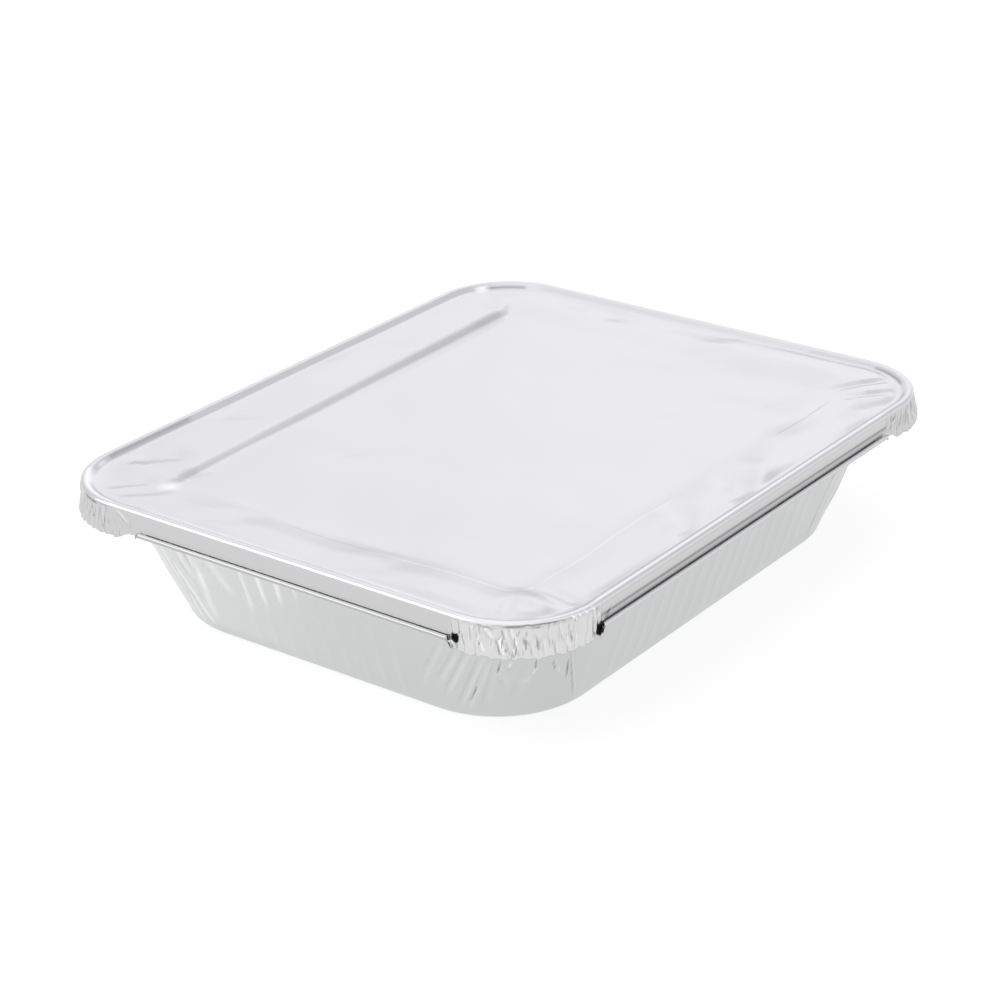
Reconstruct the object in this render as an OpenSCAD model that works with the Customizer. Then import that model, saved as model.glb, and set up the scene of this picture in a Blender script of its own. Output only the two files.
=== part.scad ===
// Half-size foil food container: a drawn foil tray and its pressed foil lid.
// The origin is under the middle of the base, X runs along the length and Z up.

/* [Overall size] */
// Length over the lid's folded hems
overall_length = 324; // [300:1:350]
// Width over the lid's folded hems
overall_width = 264; // [240:1:290]
// Height of the closed container, from the base to the top of the lid's bead
overall_height = 65; // [45:1:90]
// Thickness of both foil sheets
foil = 0.2; // [0.1:0.05:0.3]
// Gap between the lid and the rim that it sits on
lid_gap = 0.3; // [0.2:0.05:0.5]

/* [Tray] */
// Length of the base
base_length = 260; // [235:1:285]
// Width of the base
base_width = 200; // [180:1:225]
// Corner radius of the base
base_corner = 42; // [32:1:55]
// Radius where the base turns up into the wall
base_fillet = 4; // [2:0.5:8]
// Width of the rim, from the top of the wall to the outside of the curl
rim_width = 3.4; // [3.2:0.1:3.8]
// Depth of the curl that hangs from the edge of the rim
curl_depth = 3.4; // [2.6:0.1:4.5]
// Depth of the plain band of wall between the rim and the shoulder
band_depth = 8.4; // [6:0.2:10]
// How far that band leans in from the rim to the shoulder
band_lean = 2.4; // [1:0.2:4]
// Depth of the shoulder that slopes in from the band to the ribbed wall
shoulder_depth = 4; // [2:0.2:6]
// Width of the shoulder along the sides
shoulder_width = 6.7; // [4:0.1:8]
// Corner radius of the ribbed wall, just under the shoulder
wall_corner = 43; // [36:1:50]

/* [Tray ribs] */
// Distance from one pressed rib to the next
rib_pitch = 9.8; // [8:0.1:14]
// Height of a rib, from trough to crest
rib_height = 0.9; // [0.3:0.1:1.6]
// Plain wall left between the ribs and each corner of the base
rib_margin = 8; // [4:1:20]
// Number of folds pressed into each corner
corner_folds = 4; // [2:1:6]
// Height of a corner fold, from trough to crest
fold_height = 1.2; // [0.4:0.1:2]

/* [Lid] */
// Corner radius of the skirt
lid_corner = 36; // [30:1:48]
// Width of the raised bead, from the skirt to its inner foot
bead_width = 5.9; // [5.6:0.1:8]
// Height of the bead above the border
bead_height = 2.3; // [1.4:0.1:3.4]
// Width of the slope from the bead down to the border
bead_slope = 1.9; // [1.4:0.1:2]
// Rounding of the bead's outer shoulder
bead_round = 1.6; // [1:0.1:1.8]
// Width of the border, from the skirt to the recessed panel
border_width = 34; // [20:1:45]
// Depth of the recessed panel below the border
panel_depth = 1; // [0.6:0.1:3]
// Width of the sloping step down to the panel
panel_step = 2.5; // [2:0.5:8]
// Corner radius of the recessed panel
panel_corner = 8; // [5:1:20]
// Height of the skirt, from the top of the bead to the fold of the hem
skirt_height = 10.6; // [8:0.1:14]
// Width of foil that is folded out and up to make the hem
hem_width = 4.2; // [3:0.1:6]

/* [Lid gathers] */
// Distance from one pleat of the gathered skirt to the next
pleat_pitch = 6.4; // [5:0.1:12]
// Depth of a pleat at the skirt's lower edge
pleat_depth = 1.2; // [0.3:0.1:2]
// Height of the wrinkles that run over the border at each corner
wrinkle_height = 0.7; // [0.2:0.1:1]
// Length over which the hem opens out at each end
hem_flare = 6; // [3:0.5:12]
// Straight skirt with no hem next to three of the corners
open_hem = 16; // [4:1:30]
// The same, next to the fourth corner, which is at low X and low Y
open_hem_front = 3; // [2:1:30]

/* [Hidden] */
quarter = 90;
turns = [0, quarter, 2 * quarter, 3 * quarter];
// Bends of the hem's three equal strips, counted from straight down
hem_bends = [55, 125, 180];
hem_strip = hem_width / len(hem_bends);
// Share of those bends at each step where the hem opens out at its ends
hem_opening = [0.3, 1];
hem_out = hem_strip * (sin(hem_bends[0]) + sin(hem_bends[1]));
// Size of the skirt, and of the tray's opening, at the middle of the foil
skirt_size = [overall_length, overall_width] - (2 * hem_out + foil) * [1, 1];
seat = foil + lid_gap;
mouth_size = skirt_size - 2 * (seat + rim_width - foil / 2) * [1, 1];
mouth_corner = lid_corner - seat - rim_width + foil / 2;
base_size = [base_length, base_width];
lid_top = overall_height - foil / 2;
rim_top = lid_top - seat;
wall_size = mouth_size - 2 * (band_lean + shoulder_width) * [1, 1];
wall_top = rim_top - band_depth - shoulder_depth;
wall_lean = (wall_size[0] - base_length) / 2;
wall_angle = atan((wall_top - foil / 2) / wall_lean);

// A station is one cross section of a sheet, numbered anticlockwise round it:
// [corner sign x, corner sign y, facing angle, offset x, offset y, straight wave, corner wave, hem share]
function along_side(turn, along, wave) =
    [cos(turn), sin(turn), turn, -along * sin(turn), along * cos(turn), wave, 0, 0];
function share_of_side(turn, share, wave, hem) =
    [cos(turn) - share * sin(turn), sin(turn) + share * cos(turn), turn, 0, 0, 0, wave, hem];
function round_corner(turn, share, wave) =
    [cos(turn) - sin(turn), sin(turn) + cos(turn), turn + share * quarter, 0, 0, 0, wave, 0];

// Point of a station on a rounded rectangle, pushed out of it by a distance
function at(s, size, corner, z, push) = [
    s[0] * (size[0] / 2 - corner) + (corner + push) * cos(s[2]) + s[3],
    s[1] * (size[1] / 2 - corner) + (corner + push) * sin(s[2]) + s[4],
    z
];

// Waves: a jump from trough to crest, and a swell that makes neighbours differ
function zigzag(i, last) = i == 0 || i == last ? 0 : i % 2 == 0 ? -1 : 1;
function swell(i) = 0.72 + 0.28 * sin(137 * i);

// Rows of a section are [out, z, ...]; a row's normal leans away from the line through its neighbours
function row_normal(rows, j) =
    let (
        a = rows[max(j - 1, 0)],
        b = rows[min(j + 1, len(rows) - 1)],
        span = norm([b[0] - a[0], b[1] - a[1]])
    )
    j == 0 ? [0, -1] : [(b[1] - a[1]) / span, (a[0] - b[0]) / span];

// Closed sheet between two grids of points, each a list of rings from the middle outwards.
// Triangles from a middle point close the first ring of each grid, and the two last rings are joined.
module sheet(upper, under) {
    count = len(upper[0]);
    half = len(upper) * count;
    next = [for (i = [0 : count - 1]) (i + 1) % count];
    middles = [[0, 0, upper[0][0][2]], [0, 0, under[0][0][2]]];
    upper_faces = [for (r = [0 : len(upper) - 2], i = [0 : count - 1])
        let (a = r * count + i, b = r * count + next[i])
            each [[a, b + count, b], [a, a + count, b + count]]];
    under_faces = [for (f = upper_faces) [f[2] + half, f[1] + half, f[0] + half]];
    edge_faces = [for (i = [0 : count - 1])
        let (a = half - count + i, b = half - count + next[i])
            each [[a, b + half, b], [a, a + half, b + half]]];
    middle_faces = [for (i = [0 : count - 1])
        each [[i, next[i], 2 * half], [next[i] + half, i + half, 2 * half + 1]]];
    polyhedron(
        points = concat([for (ring = upper) each ring], [for (ring = under) each ring], middles),
        faces = concat(middle_faces, upper_faces, under_faces, edge_faces)
    );
}

// Tray: pressed ribs on the straight part of each wall, folds round each corner
function ribs_on(turn) =
    let (straight = (turn % (2 * quarter) == 0 ? base_width : base_length) - 2 * base_corner)
        floor((straight - 2 * rib_margin) / rib_pitch);
function wall_stations(turn) =
    let (last = 2 * ribs_on(turn))
        [for (i = [0 : last]) along_side(turn, (i - last / 2) * rib_pitch / 2, zigzag(i, last) * swell(i))];
function fold_stations(turn) =
    let (last = 2 * corner_folds + 1)
        [for (i = [0 : last]) round_corner(turn, i / last, zigzag(i, last) * swell(3 * i + turn))];
tray_stations = [for (turn = turns) each concat(wall_stations(turn), fold_stations(turn))];

// Tray section along the middle of the foil: [size, corner radius, z, strength of ribs]
fillet_cut = base_fillet * tan(wall_angle / 2);
function fillet_row(angle) =
    let (out = base_fillet * sin(angle) - fillet_cut)
        [base_size + 2 * out * [1, 1], base_corner + out, foil / 2 + base_fillet * (1 - cos(angle)), 0];
function wall_row(share, strength) = [
    base_size + share * (wall_size - base_size),
    base_corner + share * (wall_corner - base_corner),
    foil / 2 + share * (wall_top - foil / 2),
    strength
];
function rim_row(out, drop) = [mouth_size + 2 * out * [1, 1], mouth_corner + out, rim_top - drop, 0];
band_corner = (2 * mouth_corner + wall_corner) / 3;
band_row = [mouth_size - 2 * band_lean * [1, 1], band_corner, rim_top - band_depth, 0];
rim_edge = rim_width - foil / 2;
tray_rows = [
    fillet_row(0),
    fillet_row(wall_angle / 2),
    fillet_row(wall_angle),
    wall_row(0.25, 1),
    wall_row(1, 0.7),
    band_row,
    rim_row(0, 0),
    rim_row(rim_edge - bead_round, 0),
    rim_row(rim_edge, bead_round),
    rim_row(rim_edge - 0.4, curl_depth)
];
tray_line = [for (row = tray_rows) [row[0][0] / 2, row[2]]];
function tray_skin(side) = [
    for (j = [0 : len(tray_rows) - 1])
        let (row = tray_rows[j], shift = side * foil / 2 * row_normal(tray_line, j))
            [for (s = tray_stations)
                at(s, row[0] + 2 * shift[0] * [1, 1], row[1] + shift[0], row[2] + shift[1],
                    row[3] * (s[5] * rib_height + s[6] * fold_height) / 2)]
];

module tray() {
    color([0.8, 0.81, 0.81])
        sheet(tray_skin(-1), tray_skin(1));
}

// Lid: gathered skirt round each corner, hem on the rest of each side
function open_after(turn) = turn == 2 * quarter ? open_hem_front : open_hem;
function straight_half(turn) = skirt_size[turn % (2 * quarter) == 0 ? 1 : 0] / 2 - lid_corner;
function hem_end(turn, open, sign) =
    let (
        half = straight_half(turn),
        last = ceil(2 * open / pleat_pitch),
        pleats = [for (i = [1 : last])
            share_of_side(turn, sign * (1 - open / half * i / last), zigzag(i, last) * swell(i + turn), 0)],
        flare_step = hem_flare / len(hem_opening),
        flare = [for (k = [1 : len(hem_opening)])
            share_of_side(turn, sign * (1 - (open + k * flare_step) / half), 0, hem_opening[k - 1])],
        stations = concat(pleats, flare)
    )
    sign < 0 ? stations : [for (i = [len(stations) - 1 : -1 : 0]) stations[i]];
function gather_stations(turn) =
    let (last = 2 * round(lid_corner * PI / 2 / pleat_pitch))
        [for (i = [0 : last]) round_corner(turn, i / last, zigzag(i, last) * swell(2 * i + turn))];
lid_stations = [
    for (turn = turns)
        each concat(
            hem_end(turn, open_after((turn + 3 * quarter) % (4 * quarter)), -1),
            hem_end(turn, open_after(turn), 1),
            gather_stations(turn)
        )
];

// Lid section along the middle of the foil: [out, z, corner radius, strength of pleats, of wrinkles].
// The hem's strips bend by their full angles at hem share 1 and hang straight down at 0.
function lid_row(out, drop, pleat, wrinkle) = [out, lid_top - drop, lid_corner + out, pleat, wrinkle];
function total(v, i = 0) = i == len(v) ? 0 : v[i] + total(v, i + 1);
function hem_row(hem, strips) =
    let (bends = [for (k = [0 : strips - 1]) hem * hem_bends[k]])
        lid_row(
            hem_strip * total([for (b = bends) sin(b)]),
            skirt_height + hem_strip * total([for (b = bends) cos(b)]),
            1,
            0
        );
function lid_rows(hem) = [
    [-border_width - panel_step, lid_top - bead_height - panel_depth, panel_corner, 0, 0],
    [-border_width, lid_top - bead_height, panel_corner + panel_step, 0, 0],
    lid_row(-bead_width, bead_height, 0, 1),
    lid_row(-bead_width + bead_slope, 0, 0, 0),
    lid_row(-bead_round, 0, 0, 0),
    lid_row(0, bead_round, 0.15, 0),
    lid_row(0, skirt_height / 2, 0.6, 0),
    lid_row(0, skirt_height, 0.9, 0),
    hem_row(hem, 1),
    hem_row(hem, 2),
    hem_row(hem, 3)
];
function lid_point(s, rows, j, side) =
    let (
        row = rows[j],
        shift = side * foil / 2 * row_normal(rows, j),
        lift = row[4] * s[6] * wrinkle_height / 2
    )
    at(s, skirt_size + 2 * (row[0] + shift[0]) * [1, 1], row[2] + shift[0], row[1] + shift[1] + lift,
        row[3] * s[6] * pleat_depth / 2);
function lid_skin(side) = [
    for (j = [0 : len(lid_rows(0)) - 1])
        [for (s = lid_stations) lid_point(s, lid_rows(s[7]), j, side)]
];

module lid() {
    color([0.87, 0.87, 0.88])
        sheet(lid_skin(-1), lid_skin(1));
}

tray();
lid();
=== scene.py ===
import math

import bpy
import numpy as np
from mathutils import Matrix, Vector


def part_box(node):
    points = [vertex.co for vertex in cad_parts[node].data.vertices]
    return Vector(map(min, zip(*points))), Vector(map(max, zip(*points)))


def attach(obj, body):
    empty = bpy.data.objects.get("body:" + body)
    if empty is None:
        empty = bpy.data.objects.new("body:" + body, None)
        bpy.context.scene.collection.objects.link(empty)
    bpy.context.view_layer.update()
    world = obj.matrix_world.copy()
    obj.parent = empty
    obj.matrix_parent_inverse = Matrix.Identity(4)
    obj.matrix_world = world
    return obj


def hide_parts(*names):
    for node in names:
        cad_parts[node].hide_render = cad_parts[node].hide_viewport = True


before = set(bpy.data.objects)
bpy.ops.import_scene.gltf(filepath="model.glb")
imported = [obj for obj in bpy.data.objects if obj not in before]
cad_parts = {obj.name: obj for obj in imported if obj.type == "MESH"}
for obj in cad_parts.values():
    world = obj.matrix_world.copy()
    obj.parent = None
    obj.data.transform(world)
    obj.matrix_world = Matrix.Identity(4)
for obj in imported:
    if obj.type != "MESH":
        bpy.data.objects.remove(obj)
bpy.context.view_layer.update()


# Foil tray.
# One sheet of thin aluminium foil, pressed over a block: the walls keep the ribs of the block, the corners
# fold where the foil had too much length, and above a small shoulder the edge is curled down all round.

MM = 0.001
QUARTER = math.pi / 2
TRAY_LOW, TRAY_HIGH = (np.array(corner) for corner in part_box("tray"))
TRAY_FOIL = 0.14 * MM
RIM_HALF = (TRAY_HIGH - TRAY_LOW)[:2] / 2 - 0.1 * MM
RIM_TOP = TRAY_HIGH[2] - TRAY_FOIL / 2
RIM_WIDTH = 3.4 * MM
RIM_ROLL = 1.5 * MM
MOUTH_CORNER = 35.0 * MM
BAND_DEPTH, BAND_LEAN = 8.4 * MM, 2.4 * MM
SHOULDER_DEPTH, SHOULDER_WIDTH = 4.0 * MM, 6.7 * MM
WALL_BEND = 1.2 * MM
WALL_TOP = RIM_TOP - BAND_DEPTH - SHOULDER_DEPTH
WALL_CORNER = 43.0 * MM
BASE_HALF = np.array([130.0, 100.0]) * MM
BASE_CORNER = 42.0 * MM
BASE_FILLET = 4.0 * MM
# How far inside the base outline the floor's rings and the level leg of the fillet begin
FLOOR_INSET, FILLET_INSET = 20.0 * MM, 8.0 * MM
# Rings of the floor, as shares of its outline, and in how many points each keeps one
FLOOR_SHARES = (0.75, 0.5, 0.3, 0.12)
FLOOR_THINNING = (1, 2, 4, 8)
FILLET_STEPS = 6
ROLL_TURN, ROLL_STEPS = 1.25 * math.pi, 10
WALL_STEPS = 20
TRAY_CORNER_STEPS = 104
END_ZONE = 48.5 * MM
FRONT_ZONE = 77.6 * MM
END_STEP, FRONT_STEP = 0.97 * MM, 1.3857 * MM
OUTER_STEPS = 12
RIB_PITCH = 9.7 * MM
END_RIB_HEIGHT = 0.9 * MM
FRONT_RIB_HEIGHT = 0.35 * MM
END_RIB_WIDTH = 0.26
# Shares of the wall's height between which its relief grows at the foot and goes at the head, and the share
# in which a rib's painted highlight sets in
RELIEF_FOOT, RELIEF_HEAD = (0.03, 0.15), (0.9, 1)
RIB_HIGHLIGHT_FADE = 0.25
# Painted highlight of the end walls' ribs and the share of the height from which it sets in, from one end
# to the other. The first of them stands this many ribs before the middle
RIBS_BEFORE_MIDDLE = 4
RIB_HIGHLIGHT = (0.75, 1.0, 0.95, 0.65, 0.42, 0.2, 0.15, 0.15, 0.12)
RIB_REACH = (0.27, 0.42, 0.5, 0.62, 0.68, 0.72, 0.72, 0.72, 0.72)
# Soft dents of the walls, in mm: their size, and how far their pattern moves round and up from side to side
WALL_DENT_SIZE, WALL_DENT_SHIFTS = 34, (200, 300)
WALL_DENT_HEIGHT = 0.22 * MM
# Where along the end wall and along the far wall a painted highlight grows towards the left corner, in mm
WALL_HIGHLIGHT = 0.32
END_SHINE_SPAN, FAR_SHINE_SPAN = (-40, 85), (30, 95)
# Folds of the tray's corners. Corner, then for both ends the distance round from the middle of the corner
# and height, then the fold's half width and height, all in mm; last its painted highlight and painted shade
TRAY_FOLDS = (
    (1, 23.5, 48, 21.5, 24, 2.6, 0.5, 0.5, 0.5),
    (1, 25.5, 34, 31.0, 4, 2.8, 0.7, 0.6, 0.75),
    (1, 24.6, 20, 23.0, 3, 2.2, 0.5, 0.5, 0.8),
    (1, 40.6, 47, 39.8, 24, 2.4, 0.6, 0.9, 0.6),
    (1, 39.0, 34, 33.0, 10, 5.0, 0.5, 0.5, 0.1),
    (1, 49.0, 46, 54.0, 26, 5.5, 0.6, 0.4, 0.15),
    (1, 33.5, 48, 34.5, 30, 3.2, 0.5, 0.4, 0.3),
    (1, 12.0, 46, 16.0, 6, 4.0, 0.8, 0.4, 0.3),
    (1, 2.0, 47, 4.0, 10, 4.5, 0.8, 0.4, 0.3),
    (1, -10.0, 46, -13.0, 8, 4.5, 0.8, 0.4, 0.3),
    (1, -22.0, 48, -26.0, 5, 4.0, 0.7, 0.4, 0.3),
    (1, -35.0, 45, -36.0, 20, 4.0, 0.5, 0.4, 0.2),
    (2, -26.0, 38, -33.5, 18, 2.8, 0.4, 0.28, 0.12),
    (2, -21.0, 39, -29.5, 12, 2.6, 0.4, 0.32, 0.14),
    (2, -15.5, 36, -22.5, 8, 2.8, 0.4, 0.3, 0.14),
    (2, -12.5, 34, -19.5, 6, 2.4, 0.3, 0.22, 0.12),
    (2, -34.0, 40, -42.0, 14, 3.0, 0.3, 0.2, 0.1),
    (2, -9.0, 36, -13.0, 8, 3.0, 0.2, 0.1, 0.08),
    (2, -16.0, 18.8, -18.0, 11.6, 0.9, 0.3, 0.2, 1.0),
    (2, -7.2, 34.5, -8.2, 28.0, 1.0, 0.4, 0.3, 0.9),
    (2, -4.9, 32.0, -3.2, 29.8, 1.6, 0.4, 1.0, 0.2),
    (2, 5.0, 28.3, 6.0, 25.8, 1.3, 0.4, 1.0, 0.1),
    (2, 6.8, 34.0, 6.8, 27.5, 1.0, 0.3, 0.2, 0.6),
    (2, 14.6, 30.5, 15.6, 25.5, 1.2, 0.4, 0.2, 0.5),
    (2, 16.0, 27.0, 16.6, 23.8, 1.2, 0.3, 0.8, 0.1),
    (2, 21.9, 28.5, 21.3, 18.5, 1.0, 0.3, 0.1, 0.7),
    (2, 22.6, 31.0, 26.2, 6.0, 1.0, 0.3, 0.3, 0.5),
    (2, -6.0, 23.0, 4.0, 21.4, 2.6, 0.3, 0.3, 0.1),
    (2, -9.0, 27.0, -4.5, 20.5, 2.2, 0.3, 0.15, 0.12),
    (2, 4.0, 30.0, -2.0, 12.0, 4.0, 0.25, 0.1, 0.06),
    (3, 40.0, 44, 36.0, 6, 3.0, 0.6, 0.3, 0.5),
    (3, 30.0, 46, 28.0, 20, 3.0, 0.5, 0.5, 0.3),
    (3, -39.0, 45, -34.0, 5, 1.6, 0.3, 0.15, 0.25),
    (3, -21.0, 47, -22.0, 14, 2.4, 0.4, 0.5, 0.3),
    (3, -14.0, 46, -17.0, 10, 3.0, 0.5, 0.4, 0.3),
    (3, -3.0, 47, -1.0, 8, 4.0, 0.7, 0.4, 0.3),
    (3, 9.0, 46, 12.0, 6, 4.0, 0.7, 0.4, 0.3),
    (0, -28.0, 46, -32.0, 8, 3.5, 0.7, 0.4, 0.4),
    (0, -16.0, 47, -13.0, 5, 4.0, 0.7, 0.4, 0.3),
    (0, -5.0, 46, -8.0, 10, 3.5, 0.8, 0.4, 0.3),
    (0, 6.0, 47, 9.0, 6, 4.5, 0.7, 0.4, 0.3),
    (0, 19.0, 46, 17.0, 12, 3.0, 0.6, 0.4, 0.4),
    (0, 31.0, 44, 35.0, 8, 4.0, 0.6, 0.4, 0.3),
)
# Shares of a fold's length in which it grows and goes. Its flanks lie a share of its half width from its
# ridge. The half width of the painted highlight is such a share too, and that of the painted shade is in mm
FOLD_START, FOLD_END = (-0.08, 0.2), (0.8, 1.08)
FLANK_PLACE, BRIGHT_HALF, DARK_HALF = 0.45, 0.5, 0.7
FOIL_GREY = (0.705, 0.718, 0.715, 1)
# Colours that painted shade and painted highlights mix into the foil's own colour
PAINTED_SHADE_GREY = (0.01, 0.01, 0.01, 1)
PAINTED_HIGHLIGHT_WHITE = (1, 1, 1, 1)
WALL_STREAKS = (700, 700, 20)


def stations(sides, corner_steps):
    """Cross sections round a rounded rectangle, anticlockwise from the +X side. sides holds, for the
    sections of each straight side, their place as a share of the side's half length and a distance to add
    to it. Each corner takes equal turns. Returns the shares of the corner centre's x and y at which each
    section stands, the distances added to x and y, and the angle that it faces."""
    share_x, share_y, add_x, add_y, facing = [], [], [], [], []
    for side, (along, extra) in enumerate(sides):
        turn = side * QUARTER
        c, s = round(math.cos(turn)), round(math.sin(turn))
        corner = np.ones(corner_steps)
        share_x += [c - along * s, corner * (c - s)]
        share_y += [s + along * c, corner * (s + c)]
        add_x += [-extra * s, 0 * corner]
        add_y += [extra * c, 0 * corner]
        facing += [np.full(len(along), turn), turn + np.arange(corner_steps) / corner_steps * QUARTER]
    return tuple(np.concatenate(parts) for parts in (share_x, share_y, add_x, add_y, facing))


def ring_grid(sections, half, corner, out, height):
    """Grid of points, one ring for each row: the corner centre, which is the half size less the corner
    radius, times the section's shares, plus its added distances, plus the radius and the extra distance out
    along the section's facing."""
    share_x, share_y, add_x, add_y, facing = sections
    half, corner = half.reshape(-1, 2), corner.reshape(-1, 1)
    x = share_x * (half[:, :1] - corner) + add_x + (corner + out) * np.cos(facing)
    y = share_y * (half[:, 1:] - corner) + add_y + (corner + out) * np.sin(facing)
    return np.stack([x, y, np.broadcast_to(height, x.shape)], axis=2)


def smooth(low, high, value):
    """0 below low, 1 above high, and the cubic 3t^2 - 2t^3 between them."""
    t = np.clip((value - low) / (high - low), 0, 1)
    return t * t * (3 - 2 * t)


def pinch(turns):
    """Wave from -1 to 1 with sharp crests and troughs, as pinched foil has: a triangle of its phase, which
    is counted in turns."""
    return 4 * np.abs(turns - np.floor(turns + 0.5)) - 1


def crumple(u, v, size, seed, waves=4, spread=0.6):
    """Relief of crushed foil, from about -1 to 1: a few triangle waves of different lengths, which run along
    u within the spread's angle to each side and are bent by a slow sine, are added, so that flat facets meet
    at sharp folds."""
    draw = np.random.default_rng(seed)
    relief = 0
    for _ in range(waves):
        turn, length = draw.uniform(-spread, spread), size * draw.uniform(0.6, 1.7)
        phase, bend = draw.uniform(0, 1), draw.uniform(0.1, 0.3)
        across = (u * math.cos(turn) + v * math.sin(turn)) / length
        along = (v * math.cos(turn) - u * math.sin(turn)) / length
        relief = relief + pinch(across + phase + bend * np.sin(1.9 * along + 7 * phase))
    return relief / math.sqrt(waves)


def swell(u, v, size, seed, waves=5):
    """Soft relief from about -1 to 1: sines in several directions and lengths, added."""
    draw = np.random.default_rng(seed)
    relief = 0
    for _ in range(waves):
        turn, length = draw.uniform(0, math.pi), size * draw.uniform(0.7, 1.8)
        across = u * math.cos(turn) + v * math.sin(turn)
        relief = relief + np.sin(2 * math.pi * (across / length + draw.uniform(0, 1)))
    return relief / math.sqrt(waves)


def skins(grid, thickness):
    """The two faces of a foil: the grid is shifted both ways by half the thickness along its normals. A
    normal is the cross product of a point's step round the ring and its step from ring to ring."""
    around = np.roll(grid, -1, axis=1) - np.roll(grid, 1, axis=1)
    across = np.gradient(grid, axis=0)
    normal = np.cross(around, across)
    normal /= np.linalg.norm(normal, axis=2, keepdims=True)
    return grid - normal * thickness / 2, grid + normal * thickness / 2


def floor_rings(outline, height, shares, steps):
    """Rings that fill a flat outline down to its middle point: the outline's points times each share, with
    one point kept in as many as the steps say, and the height worked out from x and y."""
    rings = []
    for share, step in zip(shares, steps):
        ring = outline[::step] * [share, share, 0]
        ring[:, 2] = height(ring[:, 0], ring[:, 1])
        rings.append(ring)
    rings.append(np.array([[0, 0, height(0.0, 0.0)]]))
    return rings


def join_rings(before, after):
    """Triangles between two rings of point numbers, which have equal counts, or one has half as many points
    as the other, or is a single point. They face up where the rings run outwards anticlockwise."""
    a, b = before, after
    a_next, b_next = np.roll(a, -1), np.roll(b, -1)
    if len(a) == 1:
        return [np.stack([np.full(len(b), a[0]), b, b_next], 1)]
    if len(b) == 1:
        return [np.stack([np.full(len(a), b[0]), a_next, a], 1)]
    if len(a) == len(b):
        return [np.stack([a, b, a_next], 1), np.stack([a_next, b, b_next], 1)]
    if len(b) == 2 * len(a):
        even, odd, later = b[0::2], b[1::2], b_next[1::2]
        return [np.stack(f, 1) for f in ((a, even, odd), (a, odd, a_next), (a_next, odd, later))]
    even, odd, later = a[0::2], a[1::2], a_next[1::2]
    return [np.stack(f, 1) for f in ((b, odd, even), (b, b_next, odd), (b_next, later, odd))]


def sheet_object(name, upper, under, upper_floor, under_floor, marks):
    """Closed mesh of a foil: rings run from the middle of its upper face out to the edge and back to the
    middle of its under face, and each ring is joined to the next. marks gives, for each attribute that the
    finish reads, its values on the upper and on the under grid."""
    rings = upper_floor[::-1] + list(upper) + list(under)[::-1] + under_floor
    starts = np.cumsum([0] + [len(ring) for ring in rings])
    numbers = [np.arange(len(ring)) + start for ring, start in zip(rings, starts)]
    faces = [f for a, b in zip(numbers, numbers[1:]) for f in join_rings(a, b)]
    mesh = bpy.data.meshes.new(name)
    mesh.from_pydata(np.concatenate(rings), [], np.concatenate(faces))
    mesh.polygons.foreach_set("use_smooth", np.ones(len(mesh.polygons), dtype=bool))
    shape, first = upper.shape[:2], starts[len(upper_floor)]
    for mark, (on_upper, on_under) in marks.items():
        values = np.zeros(starts[-1])
        both = [np.broadcast_to(on_upper, shape), np.broadcast_to(on_under, shape)[::-1]]
        values[first:first + 2 * shape[0] * shape[1]] = np.concatenate(both).ravel()
        mesh.attributes.new(mark, "FLOAT", "POINT").data.foreach_set("value", values)
    mesh.update()
    piece = bpy.data.objects.new(name, mesh)
    bpy.context.collection.objects.link(piece)
    return piece


def corner_number(x, y):
    """Number of the nearest corner, anticlockwise from the one at high X and high Y."""
    return np.where(y > 0, np.where(x > 0, 0, 1), np.where(x < 0, 2, 3))


def rounded_line(points, bends, steps):
    """Points of a bent line whose inner points are rounded: for each, an arc of the bend's radius touches
    both legs at radius over tangent of half the angle between them, and runs in as many steps as are asked
    for."""
    line = [points[:1]]
    for before, point, after, bend, count in zip(points, points[1:], points[2:], bends, steps):
        a, b = ((end - point) / np.linalg.norm(end - point) for end in (before, after))
        half_angle = math.acos(a @ b) / 2
        centre = point + (a + b) / np.linalg.norm(a + b) * bend / math.sin(half_angle)
        spokes = [point + leg * bend / math.tan(half_angle) - centre for leg in (a, b)]
        share = np.linspace(0, 1, count)[:, None]
        arc = spokes[0] * (1 - share) + spokes[1] * share
        line.append(centre + arc / np.linalg.norm(arc, axis=1, keepdims=True) * bend)
    return np.concatenate(line + [points[-1:]])


def tray_profile():
    """Section of the tray along the middle of its foil, in rows: distance out from the base outline, and
    height. A fillet turns up into the leaning wall, a shoulder steps out to a steeper band, and a circle
    rolls the edge of the rim under. The long leg of the wall is cut into equal rows."""
    low = TRAY_FOIL / 2
    mouth = RIM_HALF[0] - RIM_WIDTH - BASE_HALF[0]
    band = mouth - BAND_LEAN
    rim_end = mouth + RIM_WIDTH - RIM_ROLL - TRAY_FOIL / 2
    points = np.array([(-FILLET_INSET, low), (0, low), (band - SHOULDER_WIDTH, WALL_TOP),
                       (band, RIM_TOP - BAND_DEPTH), (mouth, RIM_TOP), (rim_end, RIM_TOP)])
    bends = (BASE_FILLET, WALL_BEND, WALL_BEND, WALL_BEND)
    line = rounded_line(points, bends, (FILLET_STEPS, 3, 3, 4))
    below, above = line[:FILLET_STEPS + 1], line[FILLET_STEPS + 1:]
    foot, top = below[-1], above[0]
    wall = foot + (top - foot) * np.linspace(0, 1, WALL_STEPS + 1)[1:-1, None]
    roll = [(rim_end + RIM_ROLL * math.sin(a), RIM_TOP - RIM_ROLL * (1 - math.cos(a)))
            for a in np.linspace(0, ROLL_TURN, ROLL_STEPS + 1)[1:]]
    return np.concatenate([[(-FLOOR_INSET, low)], below, wall, above, roll]).T


def tray_places(zone, step):
    """Places of the sections along one straight side: one step apart within the ribs' zone, at the same
    distance from the middle of the side on every ring, and then spread up to the corner."""
    inner = np.arange(-round(zone / step), round(zone / step) + 1) * step
    before = np.linspace(1, 0, OUTER_STEPS, endpoint=False)
    after = before[:0:-1]
    share = np.concatenate([-before, 0 * inner, after])
    return share, np.concatenate([-zone * (1 - before), inner, zone * (1 - after)])


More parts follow.
